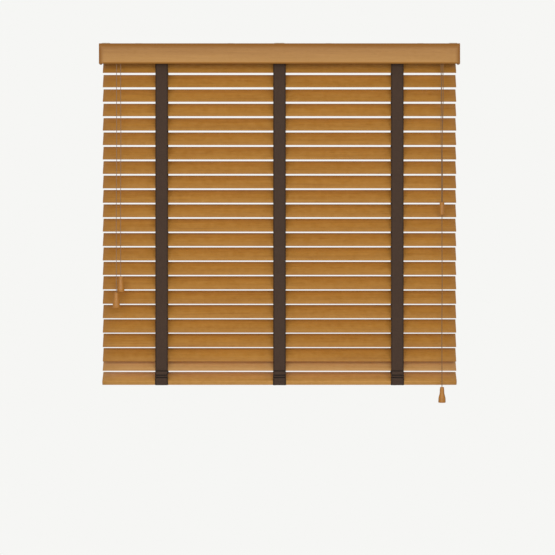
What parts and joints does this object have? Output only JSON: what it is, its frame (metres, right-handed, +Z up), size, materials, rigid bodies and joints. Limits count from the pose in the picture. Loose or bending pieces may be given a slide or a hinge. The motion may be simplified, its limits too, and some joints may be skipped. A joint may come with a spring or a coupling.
{
  "type": "venetian blind",
  "caption": "Wooden slatted window blind with a valance, cloth ladder tapes, tilt cords on the left, lift cord and tassel on the right, and a bottom rail.",
  "frame": {"origin": "centre of the top face of the centre bracket, where the blind is screwed to the top of the window reveal", "axes": "+Z up, -Y towards the room (front of the slats), +X to the right seen from the room"},
  "size_m": [1.099, 0.0919, 1.0967],
  "materials": {
    "slat_wood": "golden oak stain, satin lacquer",
    "valance_wood": "golden oak stain, satin lacquer",
    "rail_wood": "golden oak stain, satin lacquer",
    "knob_wood": "turned wood, satin lacquer",
    "tape_cloth": "dark brown woven cotton tape",
    "cord_yarn": "braided polyester cord",
    "channel_steel": "baked enamel, satin",
    "rod_steel": "zinc-plated steel",
    "case_plastic": "moulded, satin",
    "drum_nylon": "moulded nylon, satin"
  },
  "bodies": {
    "headrail": {"headrail": "channel_steel", "valance": "valance_wood", "bracket_left": "channel_steel", "bracket_right": "channel_steel", "bracket_centre": "channel_steel", "tilter_case": "case_plastic", "cord_lock": "case_plastic", "lift_cord_left": "cord_yarn", "lift_cord_middle": "cord_yarn", "lift_cord_right": "cord_yarn", "tilt_cord_a": "cord_yarn", "tilt_cord_b": "cord_yarn", "pull_cord_upper": "cord_yarn"},
    "tilt_rod": {"tilt_rod": "rod_steel", "tilt_drum_left": "drum_nylon", "tilt_drum_middle": "drum_nylon", "tilt_drum_right": "drum_nylon"},
    "tilter_pulley": {"tilter_pulley": "drum_nylon"},
    "cord_lock_pawl": {"cord_lock_pawl": "rod_steel"},
    "slat_01": {"slat_01": "slat_wood"},
    "slat_02": {"slat_02": "slat_wood"},
    "slat_03": {"slat_03": "slat_wood"},
    "slat_04": {"slat_04": "slat_wood"},
    "slat_05": {"slat_05": "slat_wood"},
    "slat_06": {"slat_06": "slat_wood"},
    "slat_07": {"slat_07": "slat_wood"},
    "slat_08": {"slat_08": "slat_wood"},
    "slat_09": {"slat_09": "slat_wood"},
    "slat_10": {"slat_10": "slat_wood"},
    "slat_11": {"slat_11": "slat_wood"},
    "slat_12": {"slat_12": "slat_wood"},
    "slat_13": {"slat_13": "slat_wood"},
    "slat_14": {"slat_14": "slat_wood"},
    "slat_15": {"slat_15": "slat_wood"},
    "slat_16": {"slat_16": "slat_wood"},
    "slat_17": {"slat_17": "slat_wood"},
    "slat_18": {"slat_18": "slat_wood"},
    "slat_19": {"slat_19": "slat_wood"},
    "slat_20": {"slat_20": "slat_wood"},
    "slat_21": {"slat_21": "slat_wood"},
    "slat_22": {"slat_22": "slat_wood"},
    "ladder_rung_17": {"ladder_rung_17": "tape_cloth"},
    "ladder_rung_18": {"ladder_rung_18": "tape_cloth"},
    "ladder_rung_19": {"ladder_rung_19": "tape_cloth"},
    "ladder_rung_20": {"ladder_rung_20": "tape_cloth"},
    "ladder_rung_21": {"ladder_rung_21": "tape_cloth"},
    "ladder_rung_22": {"ladder_rung_22": "tape_cloth"},
    "rail_carrier": {"lift_cord_end": "cord_yarn"},
    "bottom_rail": {"bottom_rail": "rail_wood"},
    "tape_front": {"tape_front_left": "tape_cloth", "tape_front_middle": "tape_cloth", "tape_front_right": "tape_cloth"},
    "tape_back": {"tape_back_left": "tape_cloth", "tape_back_middle": "tape_cloth", "tape_back_right": "tape_cloth"},
    "tilt_acorn_a": {"tilt_acorn_a": "knob_wood"},
    "tilt_acorn_b": {"tilt_acorn_b": "knob_wood"},
    "lift_pull": {"cord_equaliser": "knob_wood", "pull_cord_lower": "cord_yarn", "lift_tassel": "knob_wood"}
  },
  "joints": [
    {"name": "slat_tilt", "type": "hinge", "parent": "headrail", "child": "slat_01", "pos_m": [0, 0, -0.07], "axis": [1, 0, 0], "range_deg": [-114, 11]},
    {"name": "rod_turn", "type": "hinge", "parent": "headrail", "child": "tilt_rod", "pos_m": [0, 0, -0.02], "axis": [1, 0, 0], "range_deg": [-114, 11]},
    {"name": "pulley_turn", "type": "hinge", "parent": "headrail", "child": "tilter_pulley", "pos_m": [-0.49, -0.037, -0.0356], "axis": [0, 1, 0], "range_deg": [-525.4, 51.6]},
    {"name": "tilt_02", "type": "hinge", "parent": "headrail", "child": "slat_02", "pos_m": [0, 0, -0.1141], "axis": [1, 0, 0], "range_deg": [-115, 12]},
    {"name": "tilt_03", "type": "hinge", "parent": "headrail", "child": "slat_03", "pos_m": [0, 0, -0.1582], "axis": [1, 0, 0], "range_deg": [-115, 12]},
    {"name": "tilt_04", "type": "hinge", "parent": "headrail", "child": "slat_04", "pos_m": [0, 0, -0.2023], "axis": [1, 0, 0], "range_deg": [-115, 12]},
    {"name": "tilt_05", "type": "hinge", "parent": "headrail", "child": "slat_05", "pos_m": [0, 0, -0.2464], "axis": [1, 0, 0], "range_deg": [-115, 12]},
    {"name": "tilt_06", "type": "hinge", "parent": "headrail", "child": "slat_06", "pos_m": [0, 0, -0.2905], "axis": [1, 0, 0], "range_deg": [-115, 12]},
    {"name": "tilt_07", "type": "hinge", "parent": "headrail", "child": "slat_07", "pos_m": [0, 0, -0.3346], "axis": [1, 0, 0], "range_deg": [-115, 12]},
    {"name": "tilt_08", "type": "hinge", "parent": "headrail", "child": "slat_08", "pos_m": [0, 0, -0.3787], "axis": [1, 0, 0], "range_deg": [-115, 12]},
    {"name": "tilt_09", "type": "hinge", "parent": "headrail", "child": "slat_09", "pos_m": [0, 0, -0.4228], "axis": [1, 0, 0], "range_deg": [-115, 12]},
    {"name": "tilt_10", "type": "hinge", "parent": "headrail", "child": "slat_10", "pos_m": [0, 0, -0.4669], "axis": [1, 0, 0], "range_deg": [-115, 12]},
    {"name": "tilt_11", "type": "hinge", "parent": "headrail", "child": "slat_11", "pos_m": [0, 0, -0.511], "axis": [1, 0, 0], "range_deg": [-115, 12]},
    {"name": "tilt_12", "type": "hinge", "parent": "headrail", "child": "slat_12", "pos_m": [0, 0, -0.5551], "axis": [1, 0, 0], "range_deg": [-115, 12]},
    {"name": "tilt_13", "type": "hinge", "parent": "headrail", "child": "slat_13", "pos_m": [0, 0, -0.5992], "axis": [1, 0, 0], "range_deg": [-115, 12]},
    {"name": "tilt_14", "type": "hinge", "parent": "headrail", "child": "slat_14", "pos_m": [0, 0, -0.6433], "axis": [1, 0, 0], "range_deg": [-115, 12]},
    {"name": "tilt_15", "type": "hinge", "parent": "headrail", "child": "slat_15", "pos_m": [0, 0, -0.6874], "axis": [1, 0, 0], "range_deg": [-115, 12]},
    {"name": "tilt_16", "type": "hinge", "parent": "headrail", "child": "slat_16", "pos_m": [0, 0, -0.7315], "axis": [1, 0, 0], "range_deg": [-115, 12]},
    {"name": "rise_17", "type": "slide", "parent": "headrail", "child": "ladder_rung_17", "axis": [0, 0, 1], "range_m": [-0.001, 0.0361]},
    {"name": "tilt_17", "type": "hinge", "parent": "ladder_rung_17", "child": "slat_17", "pos_m": [0, 0, -0.7756], "axis": [1, 0, 0], "range_deg": [-115, 12], "deforming": ["ladder_rung_17"]},
    {"name": "rise_18", "type": "slide", "parent": "headrail", "child": "ladder_rung_18", "axis": [0, 0, 1], "range_m": [-0.001, 0.0712]},
    {"name": "tilt_18", "type": "hinge", "parent": "ladder_rung_18", "child": "slat_18", "pos_m": [0, 0, -0.8197], "axis": [1, 0, 0], "range_deg": [-115, 12], "deforming": ["ladder_rung_18"]},
    {"name": "rise_19", "type": "slide", "parent": "headrail", "child": "ladder_rung_19", "axis": [0, 0, 1], "range_m": [-0.001, 0.1063]},
    {"name": "tilt_19", "type": "hinge", "parent": "ladder_rung_19", "child": "slat_19", "pos_m": [0, 0, -0.8638], "axis": [1, 0, 0], "range_deg": [-115, 12], "deforming": ["ladder_rung_19"]},
    {"name": "rise_20", "type": "slide", "parent": "headrail", "child": "ladder_rung_20", "axis": [0, 0, 1], "range_m": [-0.001, 0.1414]},
    {"name": "tilt_20", "type": "hinge", "parent": "ladder_rung_20", "child": "slat_20", "pos_m": [0, 0, -0.9079], "axis": [1, 0, 0], "range_deg": [-115, 12], "deforming": ["ladder_rung_20"]},
    {"name": "rise_21", "type": "slide", "parent": "headrail", "child": "ladder_rung_21", "axis": [0, 0, 1], "range_m": [-0.001, 0.1765]},
    {"name": "tilt_21", "type": "hinge", "parent": "ladder_rung_21", "child": "slat_21", "pos_m": [0, 0, -0.952], "axis": [1, 0, 0], "range_deg": [-115, 12], "deforming": ["ladder_rung_21"]},
    {"name": "rise_22", "type": "slide", "parent": "headrail", "child": "ladder_rung_22", "axis": [0, 0, 1], "range_m": [-0.001, 0.1909]},
    {"name": "tilt_22", "type": "hinge", "parent": "ladder_rung_22", "child": "slat_22", "pos_m": [0, 0, -0.9834], "axis": [1, 0, 0], "range_deg": [-89.54, 9.54], "deforming": ["ladder_rung_22"]},
    {"name": "rail_lift", "type": "slide", "parent": "headrail", "child": "rail_carrier", "axis": [0, 0, 1], "range_m": [0, 0.2056], "deforming": ["lift_cord_left", "lift_cord_middle", "lift_cord_right", "tape_front_left", "tape_front_middle", "tape_front_right", "tape_back_left", "tape_back_middle", "tape_back_right"]},
    {"name": "rail_tilt", "type": "hinge", "parent": "rail_carrier", "child": "bottom_rail", "pos_m": [0, 0, -1.0243], "axis": [1, 0, 0], "range_deg": [-70.73, 7.73], "deforming": ["lift_cord_end"]},
    {"name": "tape_front_swing", "type": "hinge", "parent": "slat_01", "child": "tape_front", "pos_m": [0, -0.01556, -0.08957], "axis": [1, 0, 0], "range_deg": [-12, 115]},
    {"name": "tape_back_swing", "type": "hinge", "parent": "slat_01", "child": "tape_back", "pos_m": [0, 0.01556, -0.05044], "axis": [1, 0, 0], "range_deg": [-12, 115]},
    {"name": "acorn_a_travel", "type": "slide", "parent": "headrail", "child": "tilt_acorn_a", "axis": [-0.2181, 0, 0.9759], "range_m": [-0.00651, 0.0581], "deforming": ["tilt_cord_a"]},
    {"name": "acorn_b_travel", "type": "slide", "parent": "headrail", "child": "tilt_acorn_b", "axis": [0.2181, 0, -0.9759], "range_m": [-0.00651, 0.0581], "deforming": ["tilt_cord_b"]},
    {"name": "pull_travel", "type": "slide", "parent": "headrail", "child": "lift_pull", "axis": [0, 0, 1], "range_m": [-0.2066, 0.001], "deforming": ["pull_cord_upper"]},
    {"name": "pawl_swing", "type": "hinge", "parent": "headrail", "child": "cord_lock_pawl", "pos_m": [0.4949, -0.01, -0.024], "axis": [1, 0, 0], "range_deg": [0, 22]}
  ],
  "couplings": [
    {"joint": "rod_turn", "follows": "slat_tilt", "ratio": 1},
    {"joint": "pulley_turn", "follows": "slat_tilt", "ratio": 4.6},
    {"joint": "tilt_02", "follows": "slat_tilt", "ratio": 1},
    {"joint": "tilt_03", "follows": "slat_tilt", "ratio": 1},
    {"joint": "tilt_04", "follows": "slat_tilt", "ratio": 1},
    {"joint": "tilt_05", "follows": "slat_tilt", "ratio": 1},
    {"joint": "tilt_06", "follows": "slat_tilt", "ratio": 1},
    {"joint": "tilt_07", "follows": "slat_tilt", "ratio": 1},
    {"joint": "tilt_08", "follows": "slat_tilt", "ratio": 1},
    {"joint": "tilt_09", "follows": "slat_tilt", "ratio": 1},
    {"joint": "tilt_10", "follows": "slat_tilt", "ratio": 1},
    {"joint": "tilt_11", "follows": "slat_tilt", "ratio": 1},
    {"joint": "tilt_12", "follows": "slat_tilt", "ratio": 1},
    {"joint": "tilt_13", "follows": "slat_tilt", "ratio": 1},
    {"joint": "tilt_14", "follows": "slat_tilt", "ratio": 1},
    {"joint": "tilt_15", "follows": "slat_tilt", "ratio": 1},
    {"joint": "tilt_16", "follows": "slat_tilt", "ratio": 1},
    {"joint": "rise_17", "follows": "rail_lift", "ratio": 0.17072},
    {"joint": "tilt_17", "follows": "slat_tilt", "ratio": 1},
    {"joint": "rise_18", "follows": "rail_lift", "ratio": 0.34144},
    {"joint": "tilt_18", "follows": "slat_tilt", "ratio": 1},
    {"joint": "rise_19", "follows": "rail_lift", "ratio": 0.51216},
    {"joint": "tilt_19", "follows": "slat_tilt", "ratio": 1},
    {"joint": "rise_20", "follows": "rail_lift", "ratio": 0.68288},
    {"joint": "tilt_20", "follows": "slat_tilt", "ratio": 1},
    {"joint": "rise_21", "follows": "rail_lift", "ratio": 0.8536},
    {"joint": "tilt_21", "follows": "slat_tilt", "ratio": 1},
    {"joint": "rise_22", "follows": "rail_lift", "ratio": 0.92364},
    {"joint": "tilt_22", "follows": "slat_tilt", "ratio": 0.7767},
    {"joint": "rail_tilt", "follows": "slat_tilt", "ratio": 0.61165},
    {"joint": "tape_front_swing", "follows": "slat_tilt", "ratio": -1},
    {"joint": "tape_back_swing", "follows": "slat_tilt", "ratio": -1},
    {"joint": "acorn_a_travel", "follows": "slat_tilt", "m_per_rad": -0.0287},
    {"joint": "acorn_b_travel", "follows": "slat_tilt", "m_per_rad": -0.0287},
    {"joint": "pull_travel", "follows": "rail_lift", "ratio": -1}
  ]
}
